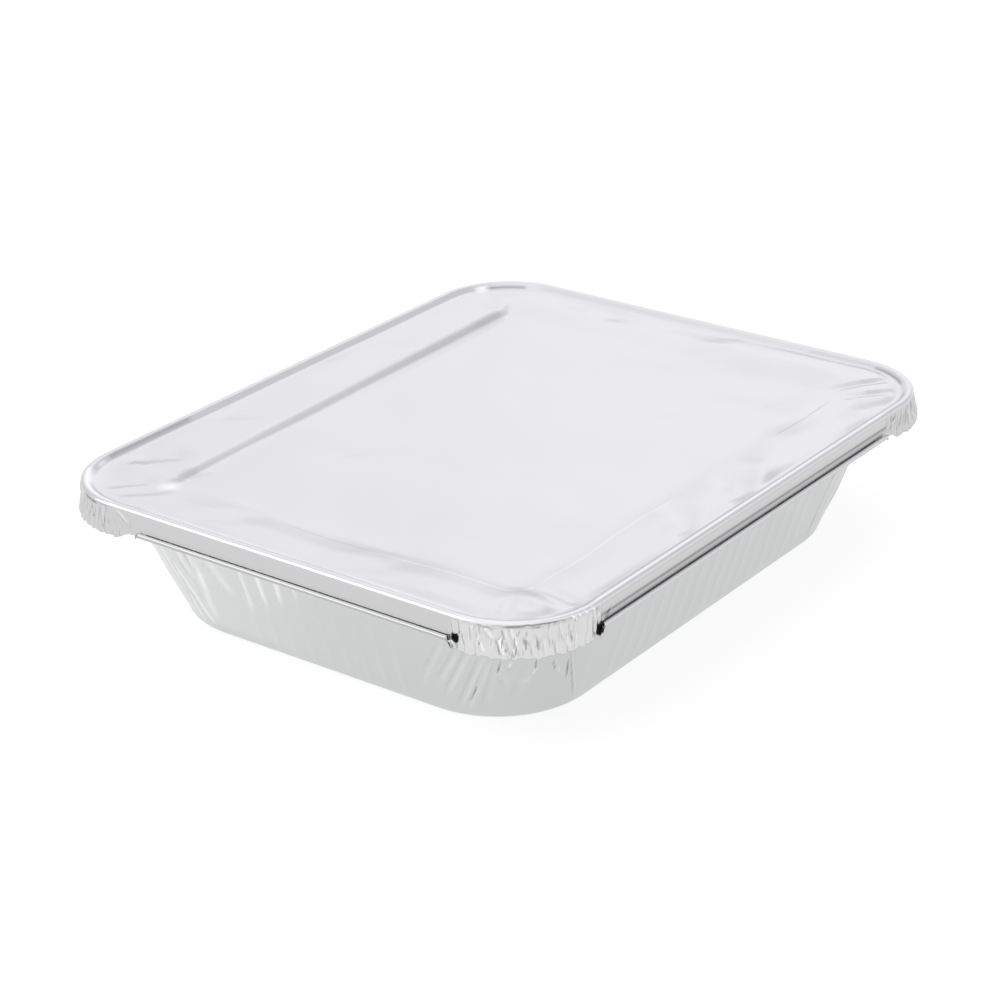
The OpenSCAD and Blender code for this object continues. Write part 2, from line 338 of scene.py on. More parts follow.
def places_round(sections, half, corner):
    """Where each point of a ring lies: the number of its side, whether that part is straight, its distance
    along the side from the side's middle, the number of the nearest corner, and the distance round from the
    middle of that corner's arc, in mm, anticlockwise."""
    share_x, share_y, add_x, add_y, facing = sections
    side = np.floor(facing / QUARTER + 1e-9)
    turned = facing - side * QUARTER
    straight = turned < 1e-6
    straight_half = np.where(side % 2 == 0, half[:, 1:], half[:, :1]) - corner
    c, s = np.round(np.cos(side * QUARTER)), np.round(np.sin(side * QUARTER))
    along = c * (share_y * straight_half + add_y) - s * (share_x * straight_half + add_x)
    half_arc = corner * QUARTER / 2
    from_corner = np.where(along < 0, half_arc + straight_half + along, along - straight_half - half_arc)
    around = np.where(straight, from_corner, corner * (turned - QUARTER / 2)) / MM
    nearest = np.where(straight & (along < 0), (side + 3) % 4, side)
    return side, straight, along, nearest, around


def fold_relief(table, nearest, around, height):
    """Folds of a sheet's corners: how far they push it outwards, and their painted highlight and painted
    shade. A fold is a ridge that fades in and out along its line, with a painted highlight on one flank and
    narrow painted shade on the other. Places in mm."""
    push, shine, shade = (0 * (around + height) for _ in range(3))
    for corner_index, u_top, z_top, u_low, z_low, width, rise, bright, dark in table:
        u, z = around - u_low, height - z_low
        u_run, z_run = u_top - u_low, z_top - z_low
        length = math.hypot(u_run, z_run)
        place = (u * u_run + z * z_run) / length ** 2
        across = (u * z_run - z * u_run) / length
        fade = (nearest == corner_index) * smooth(*FOLD_START, place) * (1 - smooth(*FOLD_END, place))
        push = push + fade * rise * MM * np.clip(1 - np.abs(across) / width, 0, 1)
        flank = np.abs(across / width - FLANK_PLACE) / BRIGHT_HALF
        shine = shine + fade * bright * np.clip(1 - flank, 0, 1)
        flank = np.abs(across / width + FLANK_PLACE) / min(FLANK_PLACE, DARK_HALF / width)
        shade = shade + fade * dark * np.clip(1 - flank, 0, 1)
    return push, shine, shade


def wall_relief(sections, half, corner, height):
    """Distance that the wall's pressed ribs and folds push it outwards, and their painted highlight and
    painted shade. Ribs are narrow ridges, with painted highlights towards one end of the end walls. All fade
    out at the fillet and at the shoulder, and soft dents make neighbours differ."""
    side, straight, along, nearest, around = places_round(sections, half, corner)
    on_end = side % 2 == 0
    share = height / WALL_TOP
    span = smooth(*RELIEF_FOOT, share) * (1 - smooth(*RELIEF_HEAD, share)) * (height < WALL_TOP)
    rib_phase = along / RIB_PITCH
    ridge = np.clip(1 - np.abs(rib_phase - np.floor(rib_phase) - 0.5) / END_RIB_WIDTH, 0, 1)
    number = np.clip(np.floor(rib_phase) + RIBS_BEFORE_MIDDLE, -1, len(RIB_HIGHLIGHT) - 1).astype(int)
    zone = straight * (np.abs(along) < np.where(on_end, END_ZONE, FRONT_ZONE)) * ((number >= 0) | ~on_end)
    rib_height = np.where(on_end, END_RIB_HEIGHT, FRONT_RIB_HEIGHT)
    ribs = zone * smooth(0, 1, ridge) * rib_height * (0.5 + 0.5 * share)
    # Painted highlight along the end walls' ribs, from a share of the wall's height up
    reach = np.array(RIB_REACH)[number]
    shine = zone * on_end * smooth(reach, reach + RIB_HIGHLIGHT_FADE, share) * smooth(0.1, 1, ridge)
    shine = shine * np.array(RIB_HIGHLIGHT)[number]
    # Painted highlight that grows along the end wall and the far wall towards the left corner
    on_far = (side == 1) * smooth(*FAR_SHINE_SPAN, along / MM)
    left = np.where(side == 2, smooth(*END_SHINE_SPAN, -along / MM), on_far)
    shine = np.maximum(shine, WALL_HIGHLIGHT * np.where(straight, left, nearest == 1))
    # The corners' folds carry painted highlight and painted shade
    folds, bright, shade = fold_relief(TRAY_FOLDS, nearest, around, height / MM)
    shift_round, shift_up = WALL_DENT_SHIFTS
    dents = swell(around + shift_round * side, height / MM + shift_up * side, WALL_DENT_SIZE, seed=5)
    push = span * (ribs + folds + dents * WALL_DENT_HEIGHT)
    return push, np.clip(span * (shine + bright), 0, 1), np.clip(span * shade, 0, 1)


def tray_grid():
    """Grid of the tray: rounded rectangles that grow from base to rim along the section, with the wall's
    ribs and folds pushed out along the level facing of each section. Also gives the painted highlight and
    painted shade of each point. The corner radius goes from one level's radius to the next in step with the
    distance out."""
    out, height = (row[:, None] for row in tray_profile())
    mouth = RIM_HALF[0] - RIM_WIDTH - BASE_HALF[0]
    band = mouth - BAND_LEAN
    levels = (-FLOOR_INSET, 0, band - SHOULDER_WIDTH, band, mouth, mouth + RIM_WIDTH)
    radii = (BASE_CORNER - FLOOR_INSET, BASE_CORNER, WALL_CORNER, (WALL_CORNER + 2 * MOUTH_CORNER) / 3,
             MOUTH_CORNER, MOUTH_CORNER + RIM_WIDTH)
    corner = np.interp(out, levels, radii)
    half = BASE_HALF + out
    places = [tray_places(END_ZONE, END_STEP), tray_places(FRONT_ZONE, FRONT_STEP)]
    sections = stations(2 * places, TRAY_CORNER_STEPS)
    # The wall's relief, with its painted highlight and painted shade
    push, polish, hollow = wall_relief(sections, half, corner, height)
    return ring_grid(sections, half, corner, push, height), polish, hollow


def foil_group():
    """Shader group of rolled foil. It puts out the roughness, which has fine streaks along the rolling
    direction, and a height with soft crinkles and the same streaks."""
    group = bpy.data.node_groups.new("rolled_foil", "ShaderNodeTree")
    for socket, value in (("Roughness", 0.3), ("Streaks", 0.06), ("Crinkle Size", 30.0), ("Crinkles", 0.5)):
        given_value = group.interface.new_socket(socket, in_out="INPUT", socket_type="NodeSocketFloat")
        given_value.default_value = value
    for socket in ("Roughness", "Height"):
        group.interface.new_socket(socket, in_out="OUTPUT", socket_type="NodeSocketFloat")
    nodes, links = group.nodes, group.links
    given, result = nodes.new("NodeGroupInput"), nodes.new("NodeGroupOutput")
    place = nodes.new("ShaderNodeTexCoord")
    stretch = nodes.new("ShaderNodeMapping")
    group.interface.new_socket("Streak Scale", in_out="INPUT", socket_type="NodeSocketVector")
    streaks = nodes.new("ShaderNodeTexNoise")
    streaks.inputs["Scale"].default_value = 1.0
    streaks.inputs["Detail"].default_value = 3.0
    crinkles = nodes.new("ShaderNodeTexNoise")
    crinkles.inputs["Detail"].default_value = 2.0
    crinkles.inputs["Roughness"].default_value = 0.45
    rough = nodes.new("ShaderNodeMath")
    rough.operation = "MULTIPLY_ADD"
    centred = nodes.new("ShaderNodeMath")
    centred.operation = "SUBTRACT"
    centred.inputs[1].default_value = 0.5
    scaled = nodes.new("ShaderNodeMath")
    scaled.operation = "MULTIPLY"
    fine = nodes.new("ShaderNodeMath")
    fine.operation = "MULTIPLY_ADD"
    fine.inputs[1].default_value = 0.006
    links.new(place.outputs["Object"], stretch.inputs["Vector"])
    links.new(given.outputs["Streak Scale"], stretch.inputs["Scale"])
    links.new(stretch.outputs["Vector"], streaks.inputs["Vector"])
    links.new(place.outputs["Object"], crinkles.inputs["Vector"])
    links.new(given.outputs["Crinkle Size"], crinkles.inputs["Scale"])
    links.new(streaks.outputs["Fac"], centred.inputs[0])
    links.new(centred.outputs[0], rough.inputs[0])
    links.new(given.outputs["Streaks"], rough.inputs[1])
    links.new(given.outputs["Roughness"], rough.inputs[2])
    links.new(rough.outputs[0], result.inputs["Roughness"])
    links.new(crinkles.outputs["Fac"], scaled.inputs[0])
    links.new(given.outputs["Crinkles"], scaled.inputs[1])
    links.new(streaks.outputs["Fac"], fine.inputs[0])
    links.new(scaled.outputs[0], fine.inputs[2])
    links.new(fine.outputs[0], result.inputs["Height"])
    return group


def foil_material(name, colour, streak_scale, crinkle_size, crinkles, roughness=0.22):
    """Bare aluminium foil: a metal with the rolled foil group's roughness and relief. Its colour carries
    painted shade, mixed towards near black by one attribute, and painted highlights, mixed towards white by
    another."""
    material = bpy.data.materials.new(name)
    material.use_nodes = True
    nodes, links = material.node_tree.nodes, material.node_tree.links
    shader = nodes["Principled BSDF"]
    # Painted shade: the colour is mixed towards near black by an attribute
    shade = nodes.new("ShaderNodeMix")
    shade.data_type = "RGBA"
    shade.inputs["A"].default_value = colour
    shade.inputs["B"].default_value = PAINTED_SHADE_GREY
    hollow = nodes.new("ShaderNodeAttribute")
    hollow.attribute_name = "hollow"
    links.new(hollow.outputs["Fac"], shade.inputs["Factor"])
    # Painted highlight: the colour is mixed towards white by an attribute
    shine = nodes.new("ShaderNodeMix")
    shine.data_type = "RGBA"
    shine.inputs["B"].default_value = PAINTED_HIGHLIGHT_WHITE
    polish = nodes.new("ShaderNodeAttribute")
    polish.attribute_name = "polish"
    links.new(polish.outputs["Fac"], shine.inputs["Factor"])
    links.new(shade.outputs["Result"], shine.inputs["A"])
    links.new(shine.outputs["Result"], shader.inputs["Base Color"])
    shader.inputs["Metallic"].default_value = 1.0
    surface = nodes.new("ShaderNodeGroup")
    surface.node_tree = bpy.data.node_groups.get("rolled_foil") or foil_group()
    surface.inputs["Roughness"].default_value = roughness
    surface.inputs["Streak Scale"].default_value = streak_scale
    surface.inputs["Crinkle Size"].default_value = crinkle_size
    surface.inputs["Crinkles"].default_value = crinkles
    bump = nodes.new("ShaderNodeBump")
    bump.inputs["Strength"].default_value = 1.0
    bump.inputs["Distance"].default_value = 0.001
    links.new(surface.outputs["Roughness"], shader.inputs["Roughness"])
    links.new(surface.outputs["Height"], bump.inputs["Height"])
    links.new(bump.outputs["Normal"], shader.inputs["Normal"])
    return material


tray_points, tray_painted_highlight, tray_painted_shade = tray_grid()
tray_inside, tray_outside = skins(tray_points, TRAY_FOIL)
tray_floors = [
    floor_rings(skin[0], lambda x, y, z=skin[0, 0, 2]: z + 0 * x, FLOOR_SHARES, FLOOR_THINNING)
    for skin in (tray_inside, tray_outside)
]
# Painted highlights go on both faces of the tray, painted shade on its outer face only
tray_marks = {"polish": (tray_painted_highlight, tray_painted_highlight), "hollow": (0, tray_painted_shade)}
tray = sheet_object("drawn_foil_tray", tray_inside, tray_outside, *tray_floors, tray_marks)
tray_finish = foil_material("tray_foil", FOIL_GREY, WALL_STREAKS, crinkle_size=60.0, crinkles=0.15)
tray.data.materials.append(tray_finish)
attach(tray, "tray")
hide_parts("tray")


# Foil lid.
# A second sheet of foil with a raised bead that sits over the tray's rim. Its edge is hemmed outwards along
# the straight sides, and hangs open and gathered round the corners, where the foil had too much length.

LID_LOW, LID_HIGH = (np.array(corner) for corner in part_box("lid"))
LID_FOIL = 0.14 * MM
LID_TOP = LID_HIGH[2] - LID_FOIL / 2
LID_CORNER = 39.0 * MM
HEM_ROLL = 1.0 * MM
HEM_TURN = math.pi * HEM_ROLL
HEM_CURL = 1.6
HEM_WIDTH, ROLLED_SHARE = 4.4 * MM, 1.2
SKIRT_HALF = (LID_HIGH - LID_LOW)[:2] / 2 - 2 * HEM_ROLL - LID_FOIL
SKIRT_HEIGHT = 10.2 * MM
BEAD_WIDTH = 6.2 * MM
BEAD_HEIGHT = 1.9 * MM
BEAD_SLOPE = 3.6 * MM
BEAD_ROUND = 1.4 * MM
BORDER_WIDTH = 33.0 * MM
STEP_WIDTH = 6.5 * MM
STEP_HEIGHT = 1.9 * MM
STEP_SPREAD = 12.0 * MM
# Shares of the step's width at which its rows lie, and the row that its painted fine lines follow
STEP_SHARES = (0, 0.2, 0.36, 0.4, 0.44, 0.7, 1)
STEP_LINE_ROW = 3
BORDER_ROWS = 8
BEAD_FLAT = 0.5 * MM
# How far the step's far side stands in from its place, how much more at its left end than in its middle,
# and between which distances from the lid's middle this sets in
STEP_SHIFT, STEP_SKEW = 3.2 * MM, 2.5 * MM
SHIFT_FADE = (15.0 * MM, 90.0 * MM)
CALM_WIDTH = 20.0 * MM
# Painted highlight: a bright spot at the left end of the step
STEP_END, STEP_END_SIZE, STEP_END_SHINE = np.array([-128, 85.5]) * MM, 3.0 * MM, 0.6
# How far the gathered skirt stands out at each corner, and between which depths down the foil this sets in
CORNER_FLARES = np.array([1.6, 1.0, 1.3, 2.2]) * MM
FLARE_DEPTHS = (3, 13)
# Painted highlights on the near corner's ridge and gathers: where round from its middle they fade, in mm,
# and how bright they are. The ridge's highlight is a line at a depth down the foil, with a half width
NEAR_SPAN = (24, 40)
RIDGE_DEPTH, RIDGE_HALF, RIDGE_SHINE = -0.2, 0.6, 0.3
GATHER_SHINE = 0.36
PANEL_CORNER = 9.0 * MM
OPEN_HEM = 13.0 * MM
OPEN_HEM_NEAR = 0.1 * MM
HEM_FLARE = 4.0 * MM
HEM_STEPS = 11
DENSE_ZONE = 24.0 * MM
DENSE_STEPS = 34
LID_CORNER_STEPS = 112
LID_END_STEPS = 38
LID_FRONT_STEPS = 50
GATHER_SIZE = 3.8 * MM
GATHER_HEIGHT = 0.5 * MM
GATHER_STRETCH = 0.4
GATHER_START = 3.0 * MM
GATHER_SHARES = (0.7, 0.8, 1.1, 0.8)
FREE_EDGE_TRIM = 0.75
RAGGED_SIZE, RAGGED_SHARE = 9.0 * MM, 0.07
PANEL_SWELL_SIZE, PANEL_SWELL = 110.0 * MM, 0.8 * MM
PANEL_DENT_SIZE, PANEL_DENT = 42.0 * MM, 0.2 * MM
# Within this distance of the bead the swells and creases grow
SWELL_START = 5.0 * MM
# Drop at which the straight skirt begins to lean in, and how far its edge leans at the front and elsewhere
SKIRT_FOLD = 6.0 * MM
FRONT_LEAN = 0.15 * MM
SIDE_LEAN = 0.1 * MM
BOX_MARGIN = 0.6 * LID_FOIL
# Painted shade on the front skirt: depths down the foil between which it sets in, and where it ends, in mm
FRONT_SHADE = 0.15
FRONT_BAND_START, FRONT_BAND_END = (5.6, 6.6), 10.6
# Lines of painted shade and painted highlight along the skirt's straight sides. Side, distance from the
# bead's outer edge down the foil and half width in mm, then painted shade and painted highlight
SKIRT_LINES = (
    (0, 9.8, 0.5, 0.1, 0),
    (1, 9.8, 0.5, 0.1, 0),
    (2, 14.3, 1.0, 0.42, 0),
    (2, -3.6, 1.8, 0, 0.3),
    (3, -0.5, 0.5, 0, 0.3),
    (3, 3.0, 0.5, 0, 0.15),
    (3, 6.0, 0.5, 0.62, 0),
    (3, 9.8, 0.5, 0.05, 0),
)
# Fine lines of painted shade and painted highlight along the panel's step. Side, both ends along it and
# how softly it ends in mm, then painted shade and painted highlight
STEP_LINES = (
    (1, -122, -20, 60, 0.1, 0),
    (1, -118, -98, 8, 0.06, 0),
    (1, 112, 119, 4, 0.12, 0),
    (2, 28, 94, 8, 0, 0.35),
    (2, -22, 26, 8, 0.12, 0),
    (3, -112, -18, 8, 0, 0.15),
    (3, 70, 111, 8, 0.2, 0),
)
# Painted shade and painted highlights on the bead. Corner, from where to where round from its middle,
# distance inside the bead's outer edge and half width in mm, then painted shade and painted highlight
BEAD_MARKS = (
    (0, -17, 5, 5.4, 1.0, 0.45, 0),
    (0, 7, 13, 5.2, 1.2, 0, 1.0),
    (1, -80, -28, 4.0, 1.0, 0.28, 0),
    (1, -24, -17, 4.6, 0.9, 0.2, 0.8),
    (1, -12, 30, 2.8, 1.8, 0, 0.5),
    (2, -34, 34, 3.0, 0.9, 0.16, 0),
    (3, 26, 60, 4.4, 0.7, 0.12, 0),
    (2, -20, -12, 7.0, 0.8, 0.2, 0),
    (2, -9, 5, 6.6, 0.8, 0.22, 0),
    (2, 12, 27, 6.2, 0.8, 0.22, 0),
    (3, -2, 24, 4.8, 0.6, 0.4, 0),
)
# Mouths of the hem's channel beside the near corner, painted near black as shade, in mm: distance round
# from the middle of the corner, depth below the top of the bead down the foil, half width and half height
HEM_MOUTHS = (
    (-30.6, 9.3, 2.1, 2.2),
    (31.7, 11.6, 2.1, 2.2),
)
# Folds of the gathered skirt, in the same terms as the tray's, with painted highlight and painted shade
LID_FOLDS = (
    (2, -20.5, 64.1, -13.8, 62.7, 1.1, 0.2, 0, 0.9),
    (2, -11.2, 64.1, -1.6, 63.6, 0.8, 0.2, 0, 0.85),
    (2, -0.9, 63.6, 3.9, 63.2, 0.8, 0.2, 0, 0.85),
    (2, -10.4, 62.3, -9.5, 58.2, 1.6, 0.3, 0.3, 1.0),
    (2, -26.6, 59.0, -25.6, 53.0, 0.8, 0.2, 0, 0.65),
    (2, -21.4, 64.0, -21.0, 53.0, 0.7, 0.2, 0.1, 0.45),
    (2, -12.8, 58.8, -10.6, 52.0, 1.6, 0.4, 1.0, 0.9),
    (2, -8.9, 57.6, -7.6, 52.0, 1.1, 0.2, 0, 0.7),
    (2, -6.7, 54.2, -5.8, 51.6, 1.1, 0.2, 0, 0.85),
    (2, -0.2, 57.6, 0.6, 51.4, 0.8, 0.2, 0.2, 0.65),
    (2, 4.2, 58.6, 5.2, 51.2, 0.8, 0.2, 0.4, 0.6),
    (2, 7.7, 64.0, 7.3, 60.6, 0.8, 0.2, 0.2, 0.55),
    (2, 8.6, 57.0, 9.5, 51.2, 0.9, 0.2, 0.2, 0.55),
    (2, 11.3, 63.8, 12.3, 57.0, 0.8, 0.2, 0.2, 0.5),
    (2, -4.0, 61.6, -5.1, 59.4, 0.8, 0.2, 0, 0.8),
    (2, -1.1, 61.4, -1.7, 58.8, 0.8, 0.2, 0, 0.8),
    (2, 18.4, 57.6, 17.3, 50.8, 0.8, 0.2, 0.9, 0.6),
    (2, 29.0, 58.6, 27.5, 51.8, 1.1, 0.3, 0, 0.9),
    (2, 27.9, 64.0, 29.2, 58.6, 1.0, 0.2, 0.4, 0.35),
    (2, 40.7, 60.3, 33.7, 54.6, 0.9, 0.2, 0.3, 0.6),
    (2, 32.7, 63.4, 29.7, 57.0, 1.4, 0.3, 0.6, 0.3),
    (2, -18.4, 62.6, -15.1, 58.2, 1.2, 0.3, 1.0, 0.3),
    (2, -8.2, 63.0, -5.6, 54.4, 1.3, 0.3, 1.0, 0.25),
    (2, -19.9, 56.0, -18.4, 52.4, 1.3, 0.3, 1.0, 0.1),
    (2, 18.7, 63.4, 17.8, 57.0, 1.1, 0.3, 0.9, 0.2),
    (2, 13.6, 57.8, 14.5, 52.0, 1.6, 0.3, 0.5, 0.1),
    (2, 16.9, 64.6, 18.0, 62.8, 0.9, 0.2, 1.0, 0),
    (2, 20.1, 64.6, 21.2, 62.8, 0.9, 0.2, 1.0, 0),
    (2, 23.4, 64.6, 24.7, 62.8, 0.9, 0.2, 1.0, 0),
    (2, 27.5, 64.6, 29.0, 62.8, 0.9, 0.2, 0.9, 0),
    (1, 11.9, 64.2, 23.7, 63.7, 1.6, 0.2, 0, 0.95),
    (1, 24.2, 63.9, 31.3, 63.9, 0.7, 0.1, 0, 0.3),
    (1, 28.7, 61.6, 27.8, 52.0, 0.8, 0.3, 0.15, 0.55),
    (1, 15.8, 63.8, 13.4, 53.6, 0.9, 0.3, 0.2, 0.4),
    (1, 19.3, 63.8, 17.1, 53.0, 0.8, 0.3, 0.2, 0.4),
    (1, 22.7, 63.8, 21.7, 53.0, 0.9, 0.3, 0.2, 0.3),
    (1, 26.6, 63.4, 26.2, 52.4, 1.4, 0.3, 0.25, 0.15),
    (1, 35.3, 62.6, 41.3, 58.2, 1.2, 0.3, 0.7, 0.2),
    (3, -37.3, 62.8, -43.1, 56.0, 1.6, 0.4, 0.3, 0.45),
    (3, -31.6, 62.0, -34.3, 54.0, 1.5, 0.4, 0.4, 0.3),
    (3, -27.9, 62.8, -28.1, 54.0, 1.2, 0.4, 0.5, 0.35),
    (3, -26.6, 64.0, -24.0, 53.0, 1.3, 0.4, 0.4, 0.4),
    (3, -21.2, 64.0, -19.9, 53.0, 1.3, 0.4, 0.3, 0.4),
    (3, -15.8, 64.0, -15.2, 53.0, 1.2, 0.4, 0.3, 0.3),
)
# Creases of the lid, in mm: both ends, half width and height
LID_CREASES = (
    (-143, 109, -127, 92, 5.5, -0.95),
    (-148, 100, -132, 83, 5.5, -0.9),
    (-116, 120, -98, 101, 8.0, -1.35),
    (-130, 119, -118, 108, 5.0, 0.7),
    (145, -110, 124, -92, 3.6, -0.9),
    (134, -119, 115, -100, 3.4, -0.8),
    (125, -128, 107, -113, 4.5, -0.6),
    (-134, -118, -126, -94, 5.5, 0.9),
    (-147, -105, -133, -98, 3.5, -0.5),
    (-122, -126, -117, -103, 4.0, -0.6),
    (132, 113, 120, 96, 5.0, -0.4),
    (-50, -125, -22, -102, 8.0, -1.6),
    (-8, -126, 18, -103, 8.0, -1.5),
    (12, -127, 34, -108, 6.0, 0.9),
    (40, -124, 60, -103, 7.0, -0.5),
    (-152, 60, -130, 30, 9.0, -0.5),
    (-150, -20, -132, -50, 10.0, -0.5),
    (-60, 122, -40, 99, 9.0, -0.6),
    (10, 124, 30, 98, 8.0, 0.5),
    (150, 40, 128, 55, 9.0, -0.5),
    (150, -30, 128, -15, 9.0, 0.5),
)
SKIRT_STREAKS = (12, 12, 1100)
LID_WHITE = (0.67, 0.67, 0.67, 1)


def lid_places(half_length, steps):
    """Places of the sections along one straight side: close together near both corners, where the foil is
    gathered and the hem ends, and further apart between."""
    edge = 1 - DENSE_ZONE / half_length
    start = np.linspace(-1, -edge, DENSE_STEPS, endpoint=False)
    middle = np.linspace(-edge, edge, steps, endpoint=False)
    end = np.linspace(edge, 1, DENSE_STEPS, endpoint=False)
    places = np.concatenate([start, middle, end])
    return places, 0 * places


def past_corner(sections):
    """Distance of each section along its straight side from the nearest corner's arc, and the open length of
    hem beside that corner. The corner at low X and low Y has less than the others."""
    share_x, share_y, facing = sections[0], sections[1], sections[4]
    straight_half = SKIRT_HALF - LID_CORNER
    x, y = share_x * straight_half[0], share_y * straight_half[1]
    on_end = np.abs(np.cos(facing)) > 0.5
    gone = np.where(on_end, straight_half[1] - np.abs(y), straight_half[0] - np.abs(x))
    on_side = np.abs(np.sin(2 * facing)) < 0.001
    return gone * on_side, np.where(corner_number(x, y) == 2, OPEN_HEM_NEAR, OPEN_HEM)


def lid_profile():
    """Section of the lid from the foot of the panel's step to the lower edge of the skirt, along the middle
    of the foil: distance out from the skirt and drop below the top of the bead, in rows. The step and the
    bead's inner side each rise by the cubic 3t^2 - 2t^3, the border is level, and one arc makes the outer
    shoulder."""
    rows = [(-BORDER_WIDTH - STEP_WIDTH * (1 - t), BEAD_HEIGHT + STEP_HEIGHT * (1 - smooth(0, 1, t)))
            for t in STEP_SHARES]
    border = np.linspace(-BORDER_WIDTH + 1 * MM, -BEAD_WIDTH, BORDER_ROWS)
    rows += [(out, BEAD_HEIGHT) for out in border]
    rows += [(-BEAD_WIDTH + BEAD_SLOPE * t, BEAD_HEIGHT * (1 - smooth(0, 1, t)))
             for t in (0.2, 0.4, 0.6, 0.8, 1)]
    rows += [(-BEAD_ROUND - BEAD_FLAT, 0)]
    for a in np.linspace(0, QUARTER, 6):
        rows.append((-BEAD_ROUND * (1 - math.sin(a)), BEAD_ROUND * (1 - math.cos(a))))
    rows += [(0, drop) for drop in np.linspace(BEAD_ROUND, SKIRT_HEIGHT, 15)[1:]]
    return np.array(rows).T


def hem_strip(hem, width):
    """Points of the hem for each section: a strip that leaves the skirt's edge straight down and bends
    outwards at a steady rate up to HEM_CURL half turns, times how far the hem is folded. They are running
    sums of the sine and cosine of the bend. Where the hem opens out it stands out no further than where it
    is folded. Also gives the length of the strip up to each point."""
    length = np.linspace(0, 1, HEM_STEPS + 1)[:, None] * width
    middle = (length[1:] + length[:-1]) / 2
    bend = np.clip(middle / HEM_TURN, 0, HEM_CURL) * math.pi * hem
    step = np.diff(length, axis=0)
    out = np.cumsum(step * np.sin(bend), axis=0)
    out *= np.minimum(1, 2 * HEM_ROLL / np.maximum(out.max(axis=0), HEM_ROLL))
    return out, np.cumsum(step * np.cos(bend), axis=0), length[1:]


def crease_relief(x, y):
    """Height of the lid's creases: for each, a soft ridge along its line that rises from nothing at one end
    and falls to nothing at the other."""
    relief = 0 * x
    for x_start, y_start, x_end, y_end, width, height in np.array(LID_CREASES) * MM:
        length = math.hypot(x_end - x_start, y_end - y_start)
        along = ((x - x_start) * (x_end - x_start) + (y - y_start) * (y_end - y_start)) / length ** 2
        across = np.abs((x - x_start) * (y_end - y_start) - (y - y_start) * (x_end - x_start)) / length
        fade = smooth(-0.1, 0.3, along) * (1 - smooth(0.7, 1.1, along))
        relief = relief + height * fade * (1 - smooth(0, 1.3, across / width))
    return relief


def panel_lift(x, y):
    """Height of the soft swells of the thin lid, and of its creases, over its level. The swells calm down
    near the sharp far side of the panel's step."""
    soft = swell(x, y, PANEL_SWELL_SIZE, seed=11) * PANEL_SWELL
    soft = soft + swell(x, y, PANEL_DENT_SIZE, seed=12) * PANEL_DENT
    step_line = SKIRT_HALF[1] - BORDER_WIDTH - STEP_SHIFT
    return soft * (1 - np.exp(-((y - step_line) / CALM_WIDTH) ** 2)) + crease_relief(x, y)


